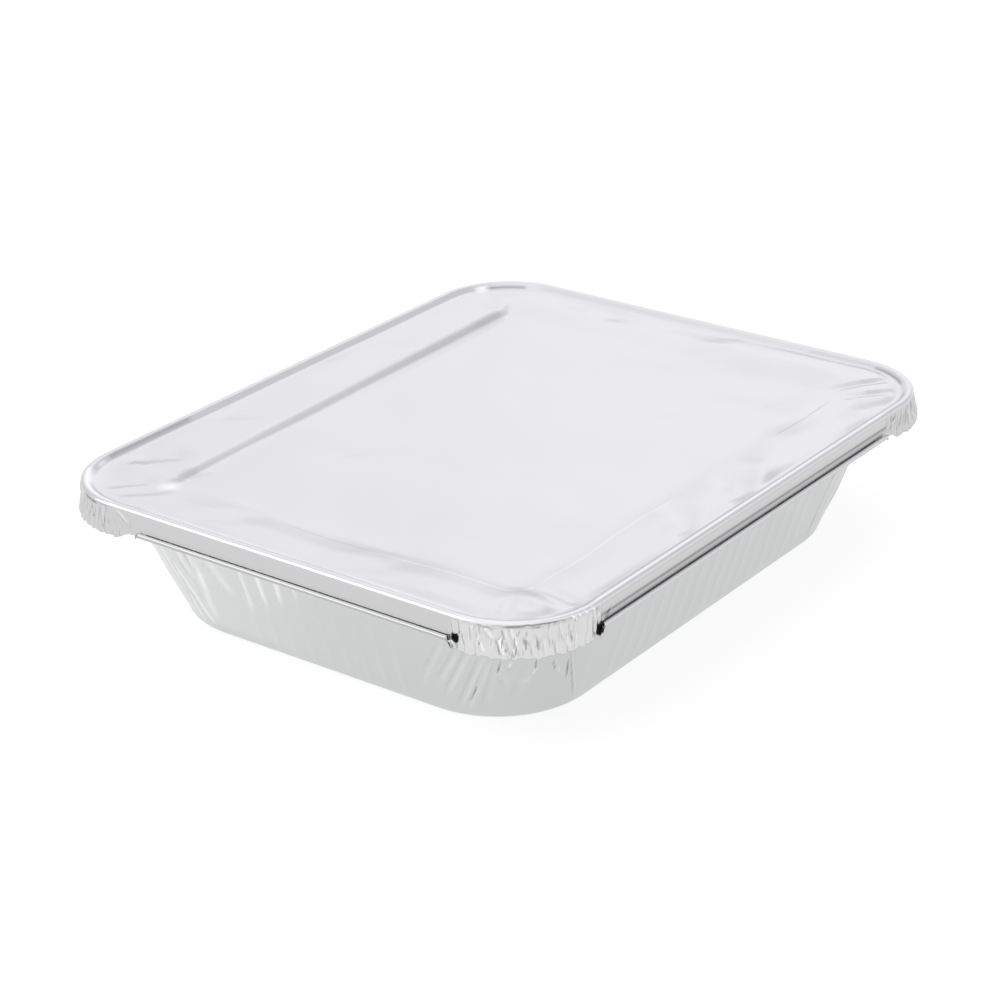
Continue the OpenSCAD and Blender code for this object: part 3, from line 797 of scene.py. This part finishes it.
def lid_grid():
    """Grid of the lid: rings along the section, whose last rows are the hem, with the corners' gathers and
    folds pushed in and out of the skirt and creases lifted out of the level parts. The panel's step is sharp
    along the far side and spreads out over the border along the others. Also gives the painted highlight and
    painted shade of each point: on the folds, the lines along the skirt, the step and the bead, the near
    corner's ridge, and the hem's mouths beside it, which are painted near black. path is the distance down
    the foil from the bead's outer edge, in mm."""
    straight_half = SKIRT_HALF - LID_CORNER
    sides = 2 * [lid_places(straight_half[1], LID_END_STEPS), lid_places(straight_half[0], LID_FRONT_STEPS)]
    sections = stations(sides, LID_CORNER_STEPS)
    facing = sections[4]
    x, y = sections[0] * straight_half[0], sections[1] * straight_half[1]
    corner_index = corner_number(x, y)
    gone, open_length = past_corner(sections)
    hem = smooth(0, HEM_FLARE, gone - open_length)
    edge = ring_grid(sections, SKIRT_HALF, np.array(LID_CORNER), 0, 0)[0]
    around = np.cumsum(np.linalg.norm(edge - np.roll(edge, 1, axis=0), axis=1))
    ragged = crumple(around, 0 * around, RAGGED_SIZE, seed=4) * (1 - hem)
    trim = smooth(0.2, 0.9, gone / open_length) * (1 - smooth(0.5, 1, hem))
    width = HEM_WIDTH * (1 - FREE_EDGE_TRIM * trim * (corner_index != 2)) * (1 + RAGGED_SHARE * ragged)
    width = width * (1 + (ROLLED_SHARE - 1) * hem)
    out, drop = lid_profile()
    places = places_round(sections, SKIRT_HALF[None], np.array([[LID_CORNER]]))
    side, _, along, nearest, from_corner = places
    off_far_side = smooth(0.25, 0.75, np.abs(facing / QUARTER - 1))
    spread = STEP_SPREAD * off_far_side * smooth(-BORDER_WIDTH - STEP_WIDTH, -BORDER_WIDTH, out[:, None])
    out_share = np.clip((-BEAD_WIDTH - out[:, None]) / (BORDER_WIDTH - BEAD_WIDTH), 0, 1)
    hem_out, hem_drop, hem_length = hem_strip(hem, width)
    outs = np.concatenate([out[:, None] + spread * out_share, hem_out])
    drops = np.concatenate([drop[:, None] + 0 * facing, SKIRT_HEIGHT + hem_drop])
    path = np.where(out < -BEAD_ROUND, out + BEAD_ROUND, drop)[:, None] + 0 * facing
    path = np.concatenate([path, SKIRT_HEIGHT + hem_length]) / MM
    inside = np.clip((-outs - BEAD_WIDTH) / (BORDER_WIDTH - BEAD_WIDTH), 0, 1)
    corner = LID_CORNER + (PANEL_CORNER + BORDER_WIDTH - LID_CORNER) * inside[:, :1]
    depth = np.clip(drops - BEAD_ROUND / 2, 0, None) * (outs > -BEAD_ROUND)
    gathers = crumple(around + 0 * depth, GATHER_STRETCH * depth, GATHER_SIZE, seed=3)
    gathers = gathers * np.array(GATHER_SHARES)[corner_index]
    push = gathers * GATHER_HEIGHT * (1 - hem) * smooth(0, GATHER_START, depth)
    lean = np.where(side == 3, FRONT_LEAN, SIDE_LEAN)
    leaning = np.clip((drops - SKIRT_FOLD) / (SKIRT_HEIGHT - SKIRT_FOLD), 0, 1)
    push = push - hem * lean * leaning * (depth > 0)
    # The skirt's folds carry painted highlight and painted shade
    folds, polish, hollow = fold_relief(LID_FOLDS, nearest, from_corner, LID_TOP / MM - path)
    turned = np.clip(from_corner * MM / LID_CORNER, -math.pi / 4, math.pi / 4)
    flare = CORNER_FLARES[corner_index] * (1 - smooth(0, 1, gone / OPEN_HEM)) * np.cos(2 * turned)
    push = push + folds * (path > 0.5) + flare * smooth(*FLARE_DEPTHS, path) * (depth > 0)
    grid = ring_grid(sections, SKIRT_HALF, corner, outs + push, 0)
    shift = STEP_SHIFT - STEP_SKEW * np.clip(x / straight_half[0], -1, 1)
    grid[:, :, 1] -= shift * inside * smooth(*SHIFT_FADE, grid[:, :, 1])
    furthest = (LID_HIGH - LID_LOW)[:2] / 2 - BOX_MARGIN
    grid[:, :, :2] = np.clip(grid[:, :, :2], -furthest, furthest)
    flat = smooth(0, SWELL_START, -outs - BEAD_WIDTH)
    grid[:, :, 2] = LID_TOP - drops + flat * panel_lift(grid[:, :, 0], grid[:, :, 1])
    # Painted shade and highlights along the skirt's sides, and a band of painted shade on the front
    for number, line, half_width, shade, shine in SKIRT_LINES:
        here = np.exp(-((path - line) / half_width) ** 2) * hem * (side == number)
        hollow, polish = hollow + shade * here, polish + shine * here
    band = smooth(*FRONT_BAND_START, path) * (path < FRONT_BAND_END)
    hollow += FRONT_SHADE * hem * (side == 3) * band
    # Painted shade and painted highlights in fine lines along the panel's step
    row = np.arange(len(outs))[:, None]
    for number, start, end, fade, shade, shine in STEP_LINES:
        here = np.where(number == 1, row < len(STEP_SHARES), row == STEP_LINE_ROW)
        here = here * (side == number) * smooth(start - 4, start + 4, along / MM)
        here = here * (1 - smooth(end - fade, end + fade, along / MM))
        hollow, polish = hollow + shade * here, polish + shine * here
    # Painted highlight at the left end of the step
    from_end = np.linalg.norm(grid[:, :, :2] - STEP_END, axis=2)
    polish = polish + STEP_END_SHINE * np.exp(-(from_end / STEP_END_SIZE) ** 2)
    # Painted shade and painted highlights on the bead
    for number, start, end, inside_edge, half_width, shade, shine in BEAD_MARKS:
        here = (nearest == number) * np.exp(-((-outs / MM - inside_edge) / half_width) ** 2) * (path < 0)
        here = here * smooth(start - 2, start + 2, from_corner) * (1 - smooth(end - 2, end + 2, from_corner))
        hollow, polish = hollow + shade * here, polish + shine * here
    # Painted highlights on the near corner's ridge and gathers
    near = (nearest == 2) * (1 - smooth(*NEAR_SPAN, np.abs(from_corner)))
    polish = polish + RIDGE_SHINE * np.exp(-((path - RIDGE_DEPTH) / RIDGE_HALF) ** 2) * near
    polish = polish + GATHER_SHINE * smooth(1, 3, path) * near * (1 - hem)
    # The hem's mouths are painted near black as shade, over any painted highlight
    for middle, depth_middle, half_width, half_height in HEM_MOUTHS:
        round_out = ((from_corner - middle) / half_width) ** 2 + ((path - depth_middle) / half_height) ** 2
        mouth_shade = (nearest == 2) * (1 - smooth(0.8, 1.15, round_out))
        hollow, polish = np.maximum(hollow, mouth_shade), polish * (1 - mouth_shade)
    return grid, np.clip(polish, 0, 1), np.clip(hollow, 0, 1)


lid_points, lid_painted_highlight, lid_painted_shade = lid_grid()
lid_upper, lid_under = skins(lid_points, LID_FOIL)
PANEL_LEVEL = LID_TOP - BEAD_HEIGHT - STEP_HEIGHT
PANEL_SHARES = (0.94, 0.86, 0.76, 0.64, 0.5, 0.36, 0.22, 0.1)
PANEL_THINNING = (1, 2, 2, 4, 4, 8, 8, 16)
lid_floors = []
for skin, level in ((lid_upper, PANEL_LEVEL + LID_FOIL / 2), (lid_under, PANEL_LEVEL - LID_FOIL / 2)):
    lid_floors.append(floor_rings(
        skin[0], lambda x, y, z=level: z + panel_lift(x, y), PANEL_SHARES, PANEL_THINNING))
# The under face shows on the outside of the hem only, so painted shade goes on the hem's rows only there
lip_shade = lid_painted_shade * (np.arange(len(lid_painted_shade))[:, None] > len(lid_painted_shade) - HEM_STEPS)
lid_marks = {"hollow": (lid_painted_shade, lip_shade), "polish": (lid_painted_highlight, 0)}
lid = sheet_object("hemmed_foil_lid", lid_upper, lid_under, *lid_floors, lid_marks)
lid_finish = foil_material("lid_foil", LID_WHITE, SKIRT_STREAKS, crinkle_size=40.0, crinkles=0.2)
lid.data.materials.append(lid_finish)
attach(lid, "lid")
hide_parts("lid")


# Studio.
# A plain white floor that keeps the container's shadow, a white surround with a few darker parts that show
# in the metal, one large soft lamp above and behind, and the camera at the photograph's angle.

FLOOR_HALF = 4.0
FLOOR_WHITE = (0.25, 0.25, 0.25, 1)
FLOOR_GLOW = (0.0, 0.68, 0.82)
SURROUND = (0.92, 1.285, 1.0)
REFLECTED_TINT = (0.962, 0.957, 1, 1)
# Darker parts of the room that show in the metal: direction, cosines of the angle from it between which the
# shade sets in, and its grey
ROOM_SHADES = (
    ((0.74, -0.2, 0.64), 0.75, 0.93, 0.69),
    ((-0.2, 0.98, 0.1), 0.3, 1.0, 0.7),
    ((-0.5, -0.8, 0.15), 0.6, 0.95, 0.36),
    ((0.8, 0.6, -0.02), 0.945, 1.0, 0.7),
)
LAMP_SIZE = 1.0
LAMP_PLACE = Vector((-0.87, 0.87, 0.9))
LAMP_WATTS = 5.0
CAMERA_AZIMUTH = math.radians(-53.08)
CAMERA_ELEVATION = math.radians(24.55)
CAMERA_ROLL = math.radians(-1.05)
CAMERA_TARGET = Vector((-65.0, -42.3, 65.0)) * MM
CAMERA_DISTANCE = 1118.0 * MM
CAMERA_LENS = 96.7


def strength_by_ray(tree, socket, plain, reflected, seen):
    """Feeds a strength socket with one value for plain lighting, one for what shows in metal and through
    glass, and one for what the camera sees directly."""
    path = tree.nodes.new("ShaderNodeLightPath")
    shiny = tree.nodes.new("ShaderNodeMath")
    shiny.operation = "MAXIMUM"
    tree.links.new(path.outputs["Is Glossy Ray"], shiny.inputs[0])
    tree.links.new(path.outputs["Is Transmission Ray"], shiny.inputs[1])
    strength = shiny.outputs[0]
    for factor, low, high in ((strength, plain, reflected), (path.outputs["Is Camera Ray"], None, seen)):
        choose = tree.nodes.new("ShaderNodeMix")
        choose.inputs["B"].default_value = high
        tree.links.new(factor, choose.inputs["Factor"])
        if low is None:
            tree.links.new(strength, choose.inputs["A"])
        else:
            choose.inputs["A"].default_value = low
        strength = choose.outputs["Result"]
    tree.links.new(strength, socket)


floor_mesh = bpy.data.meshes.new("floor")
floor_corners = [(-FLOOR_HALF, -FLOOR_HALF, 0), (FLOOR_HALF, -FLOOR_HALF, 0),
                 (FLOOR_HALF, FLOOR_HALF, 0), (-FLOOR_HALF, FLOOR_HALF, 0)]
floor_mesh.from_pydata(floor_corners, [], [(0, 1, 2, 3)])
floor = bpy.data.objects.new("floor", floor_mesh)
bpy.context.collection.objects.link(floor)
floor_paint = bpy.data.materials.new("floor_paint")
floor_paint.use_nodes = True
floor_shader = floor_paint.node_tree.nodes["Principled BSDF"]
floor_shader.inputs["Base Color"].default_value = FLOOR_WHITE
floor_shader.inputs["Roughness"].default_value = 0.9
floor_shader.inputs["Specular IOR Level"].default_value = 0.0
floor_shader.inputs["Emission Color"].default_value = (1, 1, 1, 1)
strength_by_ray(floor_paint.node_tree, floor_shader.inputs["Emission Strength"], *FLOOR_GLOW)
floor_mesh.materials.append(floor_paint)

world = bpy.data.worlds.new("surround")
bpy.context.scene.world = world
world.use_nodes = True
world_tree = world.node_tree
background = world_tree.nodes["Background"]
strength_by_ray(world_tree, background.inputs["Strength"], *SURROUND)
direction = world_tree.nodes.new("ShaderNodeTexCoord")
path = world_tree.nodes.new("ShaderNodeLightPath")
room = world_tree.nodes.new("ShaderNodeMix")
room.data_type = "RGBA"
room.inputs["A"].default_value = (1, 1, 1, 1)
room.inputs["B"].default_value = REFLECTED_TINT
world_tree.links.new(path.outputs["Is Glossy Ray"], room.inputs["Factor"])
for toward, low, high, grey in ROOM_SHADES:
    nearness = world_tree.nodes.new("ShaderNodeVectorMath")
    nearness.operation = "DOT_PRODUCT"
    nearness.inputs[1].default_value = Vector(toward).normalized()
    darkness = world_tree.nodes.new("ShaderNodeMapRange")
    darkness.interpolation_type = "SMOOTHSTEP"
    darkness.inputs["From Min"].default_value = low
    darkness.inputs["From Max"].default_value = high
    in_metal = world_tree.nodes.new("ShaderNodeMath")
    in_metal.operation = "MULTIPLY"
    darker = world_tree.nodes.new("ShaderNodeMix")
    darker.data_type = "RGBA"
    darker.blend_type = "MULTIPLY"
    darker.inputs["B"].default_value = (grey, grey, grey, 1)
    world_tree.links.new(direction.outputs["Generated"], nearness.inputs[0])
    world_tree.links.new(nearness.outputs["Value"], darkness.inputs["Value"])
    world_tree.links.new(darkness.outputs["Result"], in_metal.inputs[0])
    world_tree.links.new(path.outputs["Is Glossy Ray"], in_metal.inputs[1])
    world_tree.links.new(in_metal.outputs[0], darker.inputs["Factor"])
    world_tree.links.new(room.outputs["Result"], darker.inputs["A"])
    room = darker
world_tree.links.new(room.outputs["Result"], background.inputs["Color"])

lamp_data = bpy.data.lights.new("overhead", "AREA")
lamp_data.shape = "SQUARE"
lamp_data.size = LAMP_SIZE
lamp_data.energy = LAMP_WATTS
lamp = bpy.data.objects.new("overhead", lamp_data)
lamp.location = LAMP_PLACE
lamp.rotation_euler = LAMP_PLACE.to_track_quat("Z", "Y").to_euler()
bpy.context.collection.objects.link(lamp)

camera_data = bpy.data.cameras.new("camera")
camera_data.lens = CAMERA_LENS
camera_data.sensor_width = 36.0
camera_data.clip_end = 30.0
camera = bpy.data.objects.new("camera", camera_data)
back = Vector((
    math.sin(CAMERA_AZIMUTH) * math.cos(CAMERA_ELEVATION),
    -math.cos(CAMERA_AZIMUTH) * math.cos(CAMERA_ELEVATION),
    math.sin(CAMERA_ELEVATION),
))
level = Vector((math.cos(CAMERA_AZIMUTH), math.sin(CAMERA_AZIMUTH), 0))
above = back.cross(level)
right = math.cos(CAMERA_ROLL) * level + math.sin(CAMERA_ROLL) * above
upward = back.cross(right)
camera.matrix_world = Matrix.Translation(CAMERA_TARGET + back * CAMERA_DISTANCE) @ Matrix(
    (right, upward, back)).transposed().to_4x4()
bpy.context.collection.objects.link(camera)
bpy.context.scene.camera = camera
bpy.context.scene.view_settings.view_transform = "Standard"
